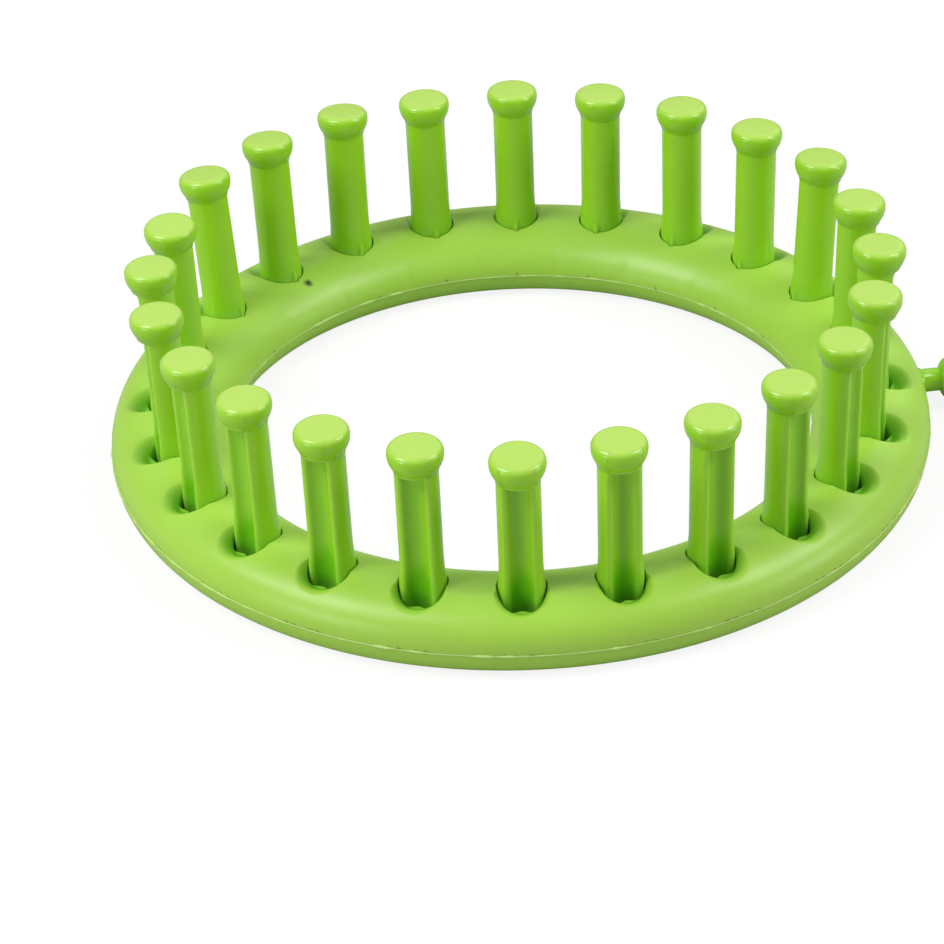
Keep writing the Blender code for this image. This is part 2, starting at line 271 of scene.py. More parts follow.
class LoomPegSizes(bpy.types.PropertyGroup):
    """Sizes of a peg, upwards and downwards from the top of the deck."""

    circle_radius: length("Circle radius", 0.05975, "From the ring's axis to the pegs")
    lean: angle("Lean", 1.62, "How far every peg leans outwards")
    height: length("Height", 0.0255, "From the deck to the top of the head")
    head_radius: length("Head radius", 0.00448, "Half the head's width")
    crown_height: length("Crown height", 0.00145, "From the head's widest plane to its top")
    top_radius: length("Top radius", 0.0033, "Half the width of the head's nearly flat top")
    top_fullness: number("Top fullness", 2.8, "How square the edge of that top is")
    top_dome: length("Top dome", 0.00006, "How far that top is domed")
    bowl_side: number("Bowl side", 1.07, "How full the bowl under the head is")
    ledge_depth: length("Ledge depth", 0.00425,
                        "From the head's top to its lower edge, where the groove ends")
    # Painted highlight: how far down the heads' paler tops reach
    highlight_depth: length("Highlight depth", 0.0008, "From the head's top down to where its paler colour ends")
    collar_height: length("Collar height", 0.00055, "Straight collar between that edge and the bowl")
    collar_flare: length("Collar flare", 0.00006, "How much that collar widens towards the bowl")
    ledge_round: length("Ledge rounding", 0.00012, "Rounding of that lower edge")
    collar_step: length("Collar step", 0.00016, "How far that lower edge stands out of the shaft")
    shaft_radius: length("Shaft radius", 0.0035, "Half the shaft's width")
    foot_radius: length("Foot radius", 0.0038, "Half the foot's width")
    flare_height: length("Flare height", 0.0050, "Where the shaft starts to widen towards the foot")
    tail: length("Tail", 0.0048, "Visible depth of the peg in its socket")
    tail_taper: length("Tail taper", 0.00005, "How much the tail narrows")
    groove_width: length("Groove width", 0.0042, "Width of the groove at its mouth")
    groove_depth: length("Groove depth", 0.0024, "Depth of the groove")
    rib_round: length("Rib rounding", 0.0007, "Rounding of the ribs beside the groove")
    rib_fade: length("Rib fade", 0.0016, "How softly the ribs run into the head")
    key_half_width: length("Key half width", 0.00030, "Half the width of the key")
    key_stand: length("Key stand", 0.00030, "How far the key stands out of the foot")
    key_height: length("Key height", 0.0010, "Where the key runs out")


class LoomAnchorSizes(bpy.types.PropertyGroup):
    """Sizes of the anchor peg, outwards from the side of the ring."""

    radius: length("Radius", 0.0020, "Half the shaft's width")
    root: length("Root", 0.0016, "How far the shaft goes into the ring")
    root_flare: length("Root flare", 0.00025, "How much the shaft widens at the ring")
    reach: length("Reach", ANCHOR_REACH, "From the side of the ring to the tip")
    free_length: length("Free length", 0.0035, "From the side of the ring to the head")
    head_radius: length("Head radius", 0.0036, "Half the head's width")
    bowl_length: length("Bowl length", 0.0014, "From the shaft to the head's widest plane")
    side_length: length("Side length", 0.0009, "Straight side of the head")


class LoomFinishes(bpy.types.PropertyGroup):
    """Colours and gloss of the two plastics."""

    ring_colour: colour("Ring colour", (0.385, 0.655, 0.075), "Colour of the two shells")
    ring_deep_colour: colour("Ring deep colour", (0.35, 0.63, 0.055),
                             "Colour in the shells' denser patches")
    ring_roughness: share("Ring roughness", 0.36, "Roughness of the shells' satin skin")
    peg_colour: colour("Peg colour", (0.325, 0.65, 0.02), "Colour of the pegs' shafts")
    peg_deep_colour: colour("Peg deep colour", (0.27, 0.59, 0.013), "Colour in the shafts' denser patches")
    # Painted shade: a deeper green laid into grooves, scoops and towards the pegs' feet, where shade falls
    painted_shade_colour: colour("Hollow colour", (0.11, 0.50, 0.005), "Deeper colour in the hollows")
    # Painted highlight: the heads' paler tops stand for the light falling on them from above
    head_highlight_colour: colour("Head colour", (0.46, 0.70, 0.12), "Colour of the heads, rubbed pale by the yarn")
    peg_roughness: share("Peg roughness", 0.16, "Roughness of the pegs' glossier skin")
    # Painted highlight: a paler green on the pegs' convex edges; it is also the flash's second pale tone
    edge_highlight_colour: colour("Edge colour", (0.50, 0.76, 0.18), "Paler colour of thin plastic edges")
    # Painted highlight: the pale colour of the seam's flash
    flash_highlight_colour: colour("Flash colour", (0.54, 0.78, 0.23), "Pale colour of the thin flash in the seam")
    translucency: share("Translucency", 0.22, "How much light the plastic lets in")
    depth_of_light: length("Depth of light", 0.0012, "How deep that light goes")
    ring_grain: length("Ring grain", 0.000006, "Height of the grain in the shells' skin")
    peg_grain: length("Peg grain", 0.000001, "Height of the grain in the pegs' skin")
    speck_place: position("Speck place", (-0.03536, 0.04394, 0.00985),
                          "Where a burnt grain shows in the deck")
    speck_size: length("Speck size", 0.0011, "Half the width of that grain")
    speck_colour: colour("Speck colour", (0.02, 0.05, 0.01), "Colour of that grain")


class LoomStage(bpy.types.PropertyGroup):
    """The camera, the lamps and the white room."""

    camera_place: position("Camera place", (-0.06695, -0.5499, 0.34818),
                           "Where the camera stands, from the ring's axis")
    camera_turn: bpy.props.FloatVectorProperty(
        name="Camera turn", description="How the camera is turned", subtype="EULER", unit="ROTATION",
        default=tuple(math.radians(turn) for turn in (57.3944, 2.0693, -7.3839)))
    lens: number("Lens", 146.115, "Focal length in millimetres")
    floor_size: length("Floor size", 6.0, "Width of the white floor")
    floor_gap: length("Floor gap", 0.0001, "How far the floor lies under the loom")
    lamp_distance: length("Lamp distance", 0.8, "From the middle of the floor to each softbox")
    room_light: share("Room light", 0.25, "Brightness of the white room on the loom")
    floor_bounce: share("Floor bounce", 0.52, "Whiteness with which the floor lights the loom")
    floor_mirrored: share("Mirrored floor", 0.46, "Whiteness of the floor in reflections on the loom")
    floor_shade: share("Floor shade", 0.15, "How much of the loom's shadow the floor shows")
    floor_light: share("Floor light", 0.86, "Whiteness that the floor shows by itself")


SETTINGS = {
    "loom_ring": LoomRingSizes,
    "loom_seam": LoomSeamSizes,
    "loom_socket": LoomSocketSizes,
    "loom_peg": LoomPegSizes,
    "loom_anchor": LoomAnchorSizes,
    "loom_finish": LoomFinishes,
    "loom_stage": LoomStage,
}


# Points and meshes


def rounded_corner(radius, height, reach, rise, side, top, steps):
    """Points of a rounded corner, from its side to its top; side and top say how square each end is."""
    points = []
    for step in range(steps + 1):
        turn = math.pi / 2 * step / steps
        out = max(math.cos(turn), 0.0) ** (2 / side)
        up = math.sin(turn) ** (2 / top)
        points.append((radius + reach * out, height + rise * up))
    return points


def add_piece(name, mesh, place, slot, *nodes):
    """Show a mesh as a piece of the loom's one body that stands for some nodes of the frame."""
    piece = bpy.data.objects.new(name, mesh)
    bpy.context.scene.collection.objects.link(piece)
    piece.matrix_world = place
    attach(piece, "root")
    if nodes:
        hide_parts(*nodes)


def add_ring_piece(name, mesh, material, slot, *nodes):
    """Show a mesh that was made about the ring's axis."""
    mesh.name = name
    mesh.transform(Matrix.Translation((RING_AXIS_X, 0, 0)))
    mesh.materials.append(plastic(material))
    add_piece(name, mesh, Matrix(), slot, *nodes)


def mesh_from(points, faces):
    """A mesh with outward faces, shaded smooth between its sharp edges."""
    mesh = bpy.data.meshes.new("form")
    mesh.from_pydata(points, [], faces)
    shape = bmesh.new()
    shape.from_mesh(mesh)
    bmesh.ops.remove_doubles(shape, verts=shape.verts, dist=MERGE)
    bmesh.ops.recalc_face_normals(shape, faces=shape.faces)
    shape.to_mesh(mesh)
    shape.free()
    mesh.shade_smooth()
    mesh.set_sharp_from_angle(angle=SHARP_ANGLE)
    return mesh


def mark_painted_shade(mesh, shade_at):
    """Write onto every point of a mesh how much painted shade it gets in the hollows, from nothing to one.
    """
    layer = mesh.attributes.new(PAINTED_SHADE, "FLOAT", "POINT")
    layer.data.foreach_set("value", [shade_at(point.co) for point in mesh.vertices])


def ring_faces(rows, columns):
    """Quads between rows of points that each run once round."""
    faces = []
    for row in range(rows - 1):
        for column in range(columns):
            after = (column + 1) % columns
            low = row * columns
            high = low + columns
            faces.append((low + column, low + after, high + after, high + column))
    return faces


def turned_mesh(profile, steps, closed):
    """A profile of radius and height turned about Z; an open one is capped at both ends."""
    points = []
    for radius, height in profile:
        for step in range(steps):
            turn = 2 * math.pi * step / steps
            points.append((radius * math.cos(turn), radius * math.sin(turn), height))
    faces = ring_faces(len(profile), steps)
    last = (len(profile) - 1) * steps
    if closed:
        for step in range(steps):
            after = (step + 1) % steps
            faces.append((last + step, last + after, after, step))
    else:
        faces.append(tuple(range(steps)))
        faces.append(tuple(range(last, last + steps)))
    return mesh_from(points, faces)


# The ring


class DeckSection:
    """The curve over the top of the ring, read by its own length from the crest: inwards is negative."""

    def __init__(self, ring, peg):
        rim = ring.seam_height + ring.seam_gap / 2
        rise = ring.height - rim
        sides = ((ring.inner_radius, ring.inner_fullness), (ring.outer_radius, ring.outer_fullness))
        inner, outer = (rounded_corner(peg.circle_radius, rim, side - peg.circle_radius, rise, full, full,
                                       SECTION_STEPS) for side, full in sides)
        curve = np.array(inner + outer[-2::-1])
        steps = np.hypot(*np.diff(curve, axis=0).T)
        lengths = np.concatenate(([0.0], np.cumsum(steps)))
        self.lengths = lengths - lengths[SECTION_STEPS]
        self.radii = curve[:, 0]
        self.heights = curve[:, 1]
        self.inner_end = self.lengths[0]
        self.outer_end = self.lengths[-1]

    def length_at(self, radius):
        """How far along the curve a radius lies."""
        return float(np.interp(radius, self.radii, self.lengths))

    def place_at(self, along):
        """The radius and height of a place on the curve."""
        return tuple(float(np.interp(along, self.lengths, values)) for values in (self.radii, self.heights))


def groove_circle(peg):
    """The radius of the groove's round floor, and how far its centre lies from the peg's axis."""
    half = peg.groove_width / 2
    mouth = math.sqrt(peg.shaft_radius ** 2 - half ** 2)
    floor = peg.shaft_radius - peg.groove_depth
    radius = ((mouth - floor) ** 2 + half ** 2) / (2 * (mouth - floor))
    return radius, floor + radius


def socket_radius(turn, peg, socket):
    """How far the socket's edge lies from its axis in one direction; the tongue lies at zero, outwards."""
    edge = peg.foot_radius + socket.clearance
    if abs(turn) < socket.tongue_turn:
        edge -= socket.tongue_stand * math.cos(math.pi / 2 * turn / socket.tongue_turn) ** 2
    if math.cos(turn) < 0:
        keyway_end = (peg.foot_radius + peg.key_stand + socket.clearance) / -math.cos(turn)
        keyway_side = (peg.key_half_width + socket.clearance) / max(abs(math.sin(turn)), MERGE)
        edge = max(edge, min(keyway_end, keyway_side))
    return edge


def scoop_reach(turn, socket):
    """How far from the peg's axis the scoop's rim lies in one direction."""
    across = socket.scoop_setback * math.sin(turn)
    if abs(across) > socket.scoop_radius:
        return 0.0
    return socket.scoop_setback * math.cos(turn) + math.sqrt(socket.scoop_radius ** 2 - across ** 2)


def scoop_sink(x, y, peg, socket):
    """How deep the scoop is at a place beside the peg's axis: steep at the socket, soft at its rim."""
    turn = math.atan2(y, x)
    sideways = abs(turn) / socket.scoop_turn
    if sideways >= 1:
        return 0.0
    depth = socket.scoop_depth * (1 - sideways ** socket.scoop_fullness) ** socket.scoop_side
    edge = peg.foot_radius + socket.clearance
    rim = max(scoop_reach(turn, socket), edge + NEAREST_RIM)
    out = min(max((math.hypot(x, y) - edge) / (rim - edge), 0.0), 1.0)
    return depth * (1 - out) ** socket.scoop_softness


def ray_turns():
    """Directions from the socket's axis, once round from the tongue."""
    half = [0.0]
    for degrees, rays in RAY_ZONES:
        start, end = half[-1], math.radians(degrees)
        half += [start + (end - start) * (ray + 1) / rays for ray in range(rays)]
    return half + [-turn for turn in half[-2:0:-1]]


def rim_distance(start, end, section, peg, socket):
    """How far along a ray the scoop reaches the surface of the deck."""
    reach = math.dist(start, end)
    low, high = 0.0, reach
    for _ in range(RIM_SEARCHES):
        middle = (low + high) / 2
        x, y, _ = deck_place(start, end, middle / reach, section, peg)
        if math.hypot(x - peg.circle_radius - socket.scoop_setback, y) < socket.scoop_radius:
            low = middle
        else:
            high = middle
    return max(low, NEAREST_RIM)


def deck_place(start, end, part, section, peg):
    """A place on the plain deck, part of the way along a ray."""
    along = start[0] + (end[0] - start[0]) * part
    across = start[1] + (end[1] - start[1]) * part
    radius, height = section.place_at(along)
    bearing = across / peg.circle_radius
    return radius * math.cos(bearing), radius * math.sin(bearing), height


def sector_ends(starts, section, half_width):
    """Where each ray meets the edge of one peg's share of the deck, with a ray into each corner."""
    ends = []
    for along, across in starts:
        reaches = [math.inf]
        if abs(across) > MERGE:
            reaches.append(half_width / abs(across))
        if along > MERGE:
            reaches.append(section.outer_end / along)
        if along < -MERGE:
            reaches.append(section.inner_end / along)
        scale = min(reaches)
        ends.append([along * scale, across * scale])
    bearings = [math.atan2(across, along) for along, across in starts]
    for corner_along in (section.inner_end, section.outer_end):
        for corner_across in (-half_width, half_width):
            bearing = math.atan2(corner_across, corner_along)
            nearest = min(range(len(starts)), key=lambda ray: abs(bearings[ray] - bearing))
            ends[nearest] = [corner_along, corner_across]
    return ends


def deck_sector(ring, peg, socket):
    """Points and faces of one peg's share of the upper shell, about the ring's axis with the peg on +X."""
    section = DeckSection(ring, peg)
    half_width = peg.circle_radius * PITCH_ANGLE / 2
    turns = ray_turns()
    starts = []
    for turn in turns:
        edge = socket_radius(turn, peg, socket)
        x, y = edge * math.cos(turn), edge * math.sin(turn)
        radius = math.hypot(peg.circle_radius + x, y)
        bearing = math.atan2(y, peg.circle_radius + x)
        starts.append((section.length_at(radius), bearing * peg.circle_radius))
    ends = sector_ends(starts, section, half_width)
    columns = []
    for start, end in zip(starts, ends):
        reach = math.dist(start, end)
        rim = rim_distance(start, end, section, peg, socket)
        distances = [rim * part for part in RIM_SHARES] + [rim + margin for margin in RIM_MARGINS]
        last = distances[-1]
        distances += [last + (reach - last) * (step + 1) / FAR_STEPS for step in range(FAR_STEPS)]
        columns.append([deck_point(start, end, distance, section, peg, socket) for distance in distances])
    rows = list(zip(*columns))
    floor = [(x, y, ring.height - socket.depth) for x, y, _ in rows[0]]
    points = floor + [point for row in rows for point in row]
    rays = len(turns)
    faces = ring_faces(len(rows) + 1, rays) + [tuple(range(rays))]
    last = len(points) - rays
    outer_edge = [ray for ray in range(rays) if ends[ray][0] == section.outer_end]
    inner_edge = [ray for ray in range(rays) if ends[ray][0] == section.inner_end]
    outer_edge.sort(key=lambda ray: ends[ray][1])
    inner_edge.sort(key=lambda ray: -ends[ray][1])
    faces.append(tuple(last + ray for ray in outer_edge + inner_edge))
    return points, faces


def deck_point(start, end, distance, section, peg, socket):
    """A point of the deck, sunk where the scoop lies and rounded at the socket's lip."""
    x, y, height = deck_place(start, end, distance / math.dist(start, end), section, peg)
    height -= scoop_sink(x - peg.circle_radius, y, peg, socket)
    if distance < socket.lip:
        height -= socket.lip - math.sqrt(socket.lip ** 2 - (socket.lip - distance) ** 2)
    return x, y, height


def upper_shell_mesh(ring, peg, socket):
    """The domed deck with its sockets and scoops, closed at the seam."""
    sector_points, sector_faces = deck_sector(ring, peg, socket)
    points, faces = [], []
    for number_on_ring in range(len(PEG_NODES)):
        turn = Matrix.Rotation((number_on_ring + 0.5) * PITCH_ANGLE, 3, "Z")
        first = len(points)
        points += [turn @ Vector(point) for point in sector_points]
        faces += [tuple(first + corner for corner in face) for face in sector_faces]
    mesh = mesh_from(points, faces)
    # Painted shade in the scoops
    mark_painted_shade(mesh, lambda point: scoop_shade(point, peg, socket))
    return mesh


def scoop_shade(point, peg, socket):
    """How much painted shade a point of the deck gets: how deep it lies in its scoop, against the scoop's
    full depth.
    """
    turn = math.atan2(point.y, point.x) % PITCH_ANGLE - PITCH_ANGLE / 2
    radius = math.hypot(point.x, point.y)
    x, y = radius * math.cos(turn) - peg.circle_radius, radius * math.sin(turn)
    on_tongue = min(math.hypot(x, y) / peg.foot_radius, 1.0)
    return scoop_sink(x, y, peg, socket) / socket.scoop_depth * on_tongue ** TONGUE_PALING


def lower_shell_mesh(ring):
    """The flat base with its drawn-in sides, closed at the seam."""
    rim = ring.seam_height - ring.seam_gap / 2
    flat_out = ring.outer_radius - ring.outer_draw_in
    flat_in = ring.inner_radius + ring.inner_draw_in
    full = ring.base_fullness
    outside = rounded_corner(flat_out, rim, ring.outer_draw_in, -rim, full, full, BOWL_STEPS)
    inside = rounded_corner(flat_in, rim, -ring.inner_draw_in, -rim, full, full, BOWL_STEPS)
    return turned_mesh(outside + inside[::-1], SHELL_STEPS, True)


def seam_mesh(radius, ring, seam, seed):
    """A thin bead of flash round the seam, thick at beads and thin between them."""
    points = []
    for step in range(SEAM_STEPS):
        turn = 2 * math.pi * step / SEAM_STEPS
        place = Vector((math.cos(turn), math.sin(turn), seed)) * (radius / seam.bead_spacing)
        bead = max(noise.noise(place) + noise.noise(place * FINE_BEADS) * FINE_BEAD_SHARE, 0.0)
        size = seam.thinnest + (seam.thickest - seam.thinnest) * min(BEAD_GAIN * bead, 1.0)
        for side in range(SEAM_SIDES):
            tilt = 2 * math.pi * side / SEAM_SIDES
            out = radius + size * math.cos(tilt)
            height = ring.seam_height + size * math.sin(tilt)
            points.append((out * math.cos(turn), out * math.sin(turn), height))
    faces = []
    for step in range(SEAM_STEPS):
        near, far = step * SEAM_SIDES, (step + 1) % SEAM_STEPS * SEAM_SIDES
        for side in range(SEAM_SIDES):
            after = (side + 1) % SEAM_SIDES
            faces.append((near + side, far + side, far + after, near + after))
    return mesh_from(points, faces)


# The pegs


def grooved_section(radius, peg):
    """Half of a shaft's outline with its groove, from the groove's middle to the back."""
    rod, distance = groove_circle(peg)
    bend = peg.rib_round
    reach = radius - bend
    rib_turn = math.acos((reach ** 2 + distance ** 2 - (rod + bend) ** 2) / (2 * distance * reach))
    rib = Vector((reach * math.cos(rib_turn), reach * math.sin(rib_turn)))
    groove_end = math.atan2(rib.y, distance - rib.x)
    outline = []
    for step in range(GROOVE_STEPS):
        turn = groove_end * step / GROOVE_STEPS
        outline.append((distance - rod * math.cos(turn), rod * math.sin(turn)))
    for step in range(RIB_STEPS):
        turn = -groove_end + (rib_turn + groove_end) * step / RIB_STEPS
        outline.append((rib.x + bend * math.cos(turn), rib.y + bend * math.sin(turn)))
    back = back_turns(rib_turn, peg)
    outline += [(radius * math.cos(turn), radius * math.sin(turn)) for turn in back]
    return outline


def back_turns(first, peg):
    """Directions round the ungrooved side of a peg, closest together at the edges of the key."""
    key = peg.key_half_width / peg.foot_radius
    last = math.pi - KEY_SECTION[0][0] * key
    turns = [first + (last - first) * step / BACK_STEPS for step in range(BACK_STEPS)]
    return turns + [math.pi - across * key for across, _ in KEY_SECTION]


def peg_rows(peg):
    """The heights and radii of a peg's rows, with how much of the key each shows."""
    rows = [(-peg.tail, peg.foot_radius - peg.tail_taper, 1.0), (0.0, peg.foot_radius, 1.0)]
    for step in range(1, FLARE_STEPS + 1):
        up = step / FLARE_STEPS
        radius = peg.shaft_radius + (peg.foot_radius - peg.shaft_radius) * (1 - up) ** 2
        height = peg.flare_height * up
        rows.append((height, radius, max(1 - height / peg.key_height, 0.0)))
    ledge = peg.height - peg.ledge_depth
    widest = peg.height - peg.crown_height
    rows += [(ledge - peg.rib_fade * part, peg.shaft_radius, 0.0) for part in LEDGE_ROWS]
    edge = rounded_corner(peg.top_radius, widest, peg.head_radius - peg.top_radius,
                          peg.crown_height - peg.top_dome, ROUND, peg.top_fullness, EDGE_STEPS)
    rows += [(height, radius, 0.0) for radius, height in bowl_section(peg) + edge[1:]]
    for step in range(TOP_STEPS - 1, 0, -1):
        out = step / TOP_STEPS
        rows.append((peg.height - peg.top_dome * out ** 2, peg.top_radius * out, 0.0))
    return rows


def bowl_section(peg):
    """The head's lower side: a short collar, then the bowl up to the widest plane."""
    ledge = peg.height - peg.ledge_depth
    widest = peg.height - peg.crown_height
    collar = peg.shaft_radius + peg.collar_step
    neck = collar + peg.collar_flare
    rise = ledge + peg.collar_height - widest
    bowl = rounded_corner(neck, widest, peg.head_radius - neck, rise, peg.bowl_side, ROUND, BOWL_STEPS)
    return [(collar, ledge + peg.ledge_round)] + bowl[::-1]


def groove_shown(height, sink, peg):
    """How much of the groove a row shows: its floor ends at a ledge, its ribs fade into the bowl."""
    ledge = peg.height - peg.ledge_depth
    fade = peg.ledge_round + peg.rib_fade * max(1 - sink / peg.rib_round, 0.0)
    return min(max((ledge - height) / fade, 0.0), 1.0)


def key_shown(columns_off):
    """How far the key stands out, so many columns off its middle."""
    if columns_off >= len(KEY_SECTION):
        return 0.0
    return KEY_SECTION[-1 - columns_off][1]


def peg_mesh(peg):
    """One peg about its own axis, standing on Z = 0 with the groove towards +X and the key towards -X."""
    points = []
    rows = peg_rows(peg)
    for height, radius, key in rows:
        drawn = min(max(radius, peg.shaft_radius), peg.foot_radius)
        half = grooved_section(drawn, peg)
        outline = half + [(x, -y) for x, y in half[-2:0:-1]]
        for place, (x, y) in enumerate(outline):
            turn = math.atan2(y, x)
            sink = drawn - math.hypot(x, y)
            reach = radius - sink * groove_shown(height, sink, peg)
            off_middle = abs(place - len(half) + 1)
            reach += (peg.foot_radius + peg.key_stand - radius) * key * key_shown(off_middle)
            points.append((reach * math.cos(turn), reach * math.sin(turn), height))
    columns = len(outline)
    faces = ring_faces(len(rows), columns)
    faces.append(tuple(range(columns)))
    top = len(points)
    points.append((0, 0, peg.height))
    rim = top - columns
    faces += [(rim + column, rim + (column + 1) % columns, top) for column in range(columns)]
    mesh = mesh_from(points, faces)
    # Painted shade in the groove and towards the foot
    mark_painted_shade(mesh, lambda point: groove_shade(point, peg))
    return mesh


def groove_shade(point, peg):
    """Painted shade on a peg: how deep a point lies in its groove and, more faintly, how near it is to its
    foot.
    """
    if point.z > peg.height - peg.ledge_depth + MERGE:
        return 0.0
    share_of_depth = (peg.shaft_radius - math.hypot(point.x, point.y)) / peg.groove_depth
    footwards = 1 - min(max(point.z / peg.flare_height, 0.0), 1.0)
    groove = max(share_of_depth, 0.0) * (GROOVE_SHARE + FOOT_SHARE * footwards)
    return min(groove + SHAFT_FOOT_SHARE * footwards ** 2, 1.0)


def peg_matrix(node, ring, peg):
    """Where a peg stands: turned to face outwards, and leaning as that peg does."""
    turn = (int(node.split("_")[1]) - 0.5) * PITCH_ANGLE
    outwards, sideways = LOOSE_PEGS.get(node, (0.0, 0.0))
    place = Matrix.Translation((RING_AXIS_X, 0, 0)) @ Matrix.Rotation(turn, 4, "Z")
    place = place @ Matrix.Translation((peg.circle_radius, 0, ring.height))
    lean = Matrix.Rotation(peg.lean + math.radians(outwards), 4, "Y")
    return place @ Matrix.Rotation(-math.radians(sideways), 4, "X") @ lean


# The anchor peg


def anchor_mesh(anchor):
    """The anchor peg about Z, from its root in the ring to its tip."""
    widest = anchor.free_length + anchor.bowl_length
    shoulder = widest + anchor.side_length
    root = rounded_corner(anchor.radius, 0, anchor.root_flare, 2 * anchor.root_flare, STRAIGHT, STRAIGHT,
                          RIB_STEPS)
    bowl = rounded_corner(anchor.radius, widest, anchor.head_radius - anchor.radius, -anchor.bowl_length,
                          *ANCHOR_BOWL_ENDS, BOWL_STEPS)
    crown = rounded_corner(0, shoulder, anchor.head_radius, anchor.reach - shoulder, *ANCHOR_CROWN_ENDS,
                           CROWN_STEPS)
    profile = [(anchor.radius, -anchor.root)] + root + bowl[::-1] + crown[:-1]
    return turned_mesh(profile, ANCHOR_STEPS, False)


# Finishes


def new_group(effect, inputs, outputs):
    """An empty node group for an effect; labels that end in Colour are colours, the others are numbers."""
    group = bpy.data.node_groups.new(effect.__name__, "ShaderNodeTree")
    for direction, labels in (("INPUT", inputs), ("OUTPUT", outputs)):
        for label in labels:
            kind = "NodeSocketColor" if label.endswith("Colour") else "NodeSocketFloat"
            group.interface.new_socket(name=label, in_out=direction, socket_type=kind)
    return group, group.nodes.new("NodeGroupInput"), group.nodes.new("NodeGroupOutput")


def add_node(tree, kind, **settings):
    """A shader node with its settings."""
    node = tree.nodes.new(f"ShaderNode{kind}")
    for key, value in settings.items():
        setattr(node, key, value)
    return node


def join(tree, value, target):
    """Link a socket to a target, or write a constant into it."""
    if isinstance(value, bpy.types.NodeSocket):
        tree.links.new(value, target)
    else:
        target.default_value = value


def fill(tree, node, **values):
    """Join each value to the node's input of that name; underscores stand for spaces."""
    for key, value in values.items():
        join(tree, value, node.inputs[key.replace("_", " ")])


def noise_value(tree, place, scale, detail, roughness):
    """Soft noise over the surface; its scale may be a socket or a number."""
    node = add_node(tree, "TexNoise")
    fill(tree, node, Vector=place, Scale=scale, Detail=detail, Roughness=roughness)
    return node.outputs["Fac"]


def arithmetic(tree, operation, first, second):
    """One sum on sockets or numbers."""
    node = add_node(tree, "Math", operation=operation)
    join(tree, first, node.inputs[0])
    join(tree, second, node.inputs[1])
    return node.outputs[0]


def stretch(tree, value, low, high, to_low=0.0, to_high=1.0):
    """Map a range of a value onto another range, clamped."""
    node = add_node(tree, "MapRange")
    fill(tree, node, Value=value, From_Min=low, From_Max=high, To_Min=to_low, To_Max=to_high)
    return node.outputs["Result"]


def blend_colours(tree, part, first, second):
    """Mix two colours."""
    node = add_node(tree, "Mix", data_type="RGBA")
    join(tree, part, node.inputs["Factor"])
    join(tree, first, node.inputs[MIX_FIRST])
    join(tree, second, node.inputs[MIX_SECOND])
    return node.outputs[MIX_RESULT]


def object_place(tree):
    """Coordinates fixed to the piece."""
    return add_node(tree, "TexCoord").outputs["Object"]


def uneven_pigment():
    """Uneven pigment: broad clouds and fine streaks between a plastic's colour and its denser one."""
    group, given, result = new_group(uneven_pigment, ("Colour", "Deep Colour", "Cloud Scale", "Amount"),
                                     ("Colour",))
    place = object_place(group)
    clouds = noise_value(group, place, given.outputs["Cloud Scale"], detail=3, roughness=0.55)
    fine_scale = arithmetic(group, "MULTIPLY", given.outputs["Cloud Scale"], STREAK_FINENESS)
    streaks = noise_value(group, place, fine_scale, detail=2, roughness=0.5)
    both = arithmetic(group, "ADD", arithmetic(group, "MULTIPLY", clouds, CLOUD_SHARE),
                      arithmetic(group, "MULTIPLY", streaks, 1 - CLOUD_SHARE))
    part = arithmetic(group, "MULTIPLY", stretch(group, both, low=0.35, high=0.68), given.outputs["Amount"])
    mixed = blend_colours(group, part, given.outputs["Colour"], given.outputs["Deep Colour"])
    group.links.new(mixed, result.inputs["Colour"])
    return group


def painted_light_and_shade():
    """Masks of the painted highlight on outward edges and of the painted shade in the marked hollows."""
    group, given, result = new_group(painted_light_and_shade, ("Sharpness", "Amount", "Hollow Amount"),
                                     ("Mask", "Painted Shade"))
    pointed = add_node(group, "NewGeometry").outputs["Pointiness"]
    mask = stretch(group, pointed, EDGE_START, arithmetic(group, "ADD", given.outputs["Sharpness"], FLAT))
    painted_shade = add_node(group, "Attribute", attribute_name=PAINTED_SHADE).outputs["Fac"]
    for found, amount, label in ((mask, "Amount", "Mask"), (painted_shade, "Hollow Amount", "Painted Shade")):
        group.links.new(arithmetic(group, "MULTIPLY", found, given.outputs[amount]), result.inputs[label])
    return group


def moulded_skin():
    """The moulded skin: a fine grain in height, and gloss that handling has made uneven."""
    group, given, result = new_group(moulded_skin, ("Grain Scale", "Roughness", "Spread"),
                                     ("Height", "Roughness"))
    place = object_place(group)
    grain = noise_value(group, place, given.outputs["Grain Scale"], detail=2, roughness=0.6)
    wave_scale = arithmetic(group, "MULTIPLY", given.outputs["Grain Scale"], WAVE_SCALE)
    waves = noise_value(group, place, wave_scale, detail=1, roughness=0.5)
    height = arithmetic(group, "ADD", arithmetic(group, "MULTIPLY", grain, GRAIN_SHARE), waves)
    group.links.new(height, result.inputs["Height"])
    smears = noise_value(group, place, scale=140.0, detail=3, roughness=0.6)
    low = arithmetic(group, "SUBTRACT", given.outputs["Roughness"], given.outputs["Spread"])
    high = arithmetic(group, "ADD", given.outputs["Roughness"], given.outputs["Spread"])
    uneven = stretch(group, smears, low=0.35, high=0.65, to_low=low, to_high=high)
    group.links.new(uneven, result.inputs["Roughness"])
    return group


def place_group(tree, effect, **values):
    """Place a shared effect in a material, and build it the first time."""
    group = bpy.data.node_groups.get(effect.__name__) or effect()
    node = add_node(tree, "Group", node_tree=group)
    fill(tree, node, **values)
    return node


def solid(rgb):
    """A colour with full cover."""
    return (*rgb, 1.0)


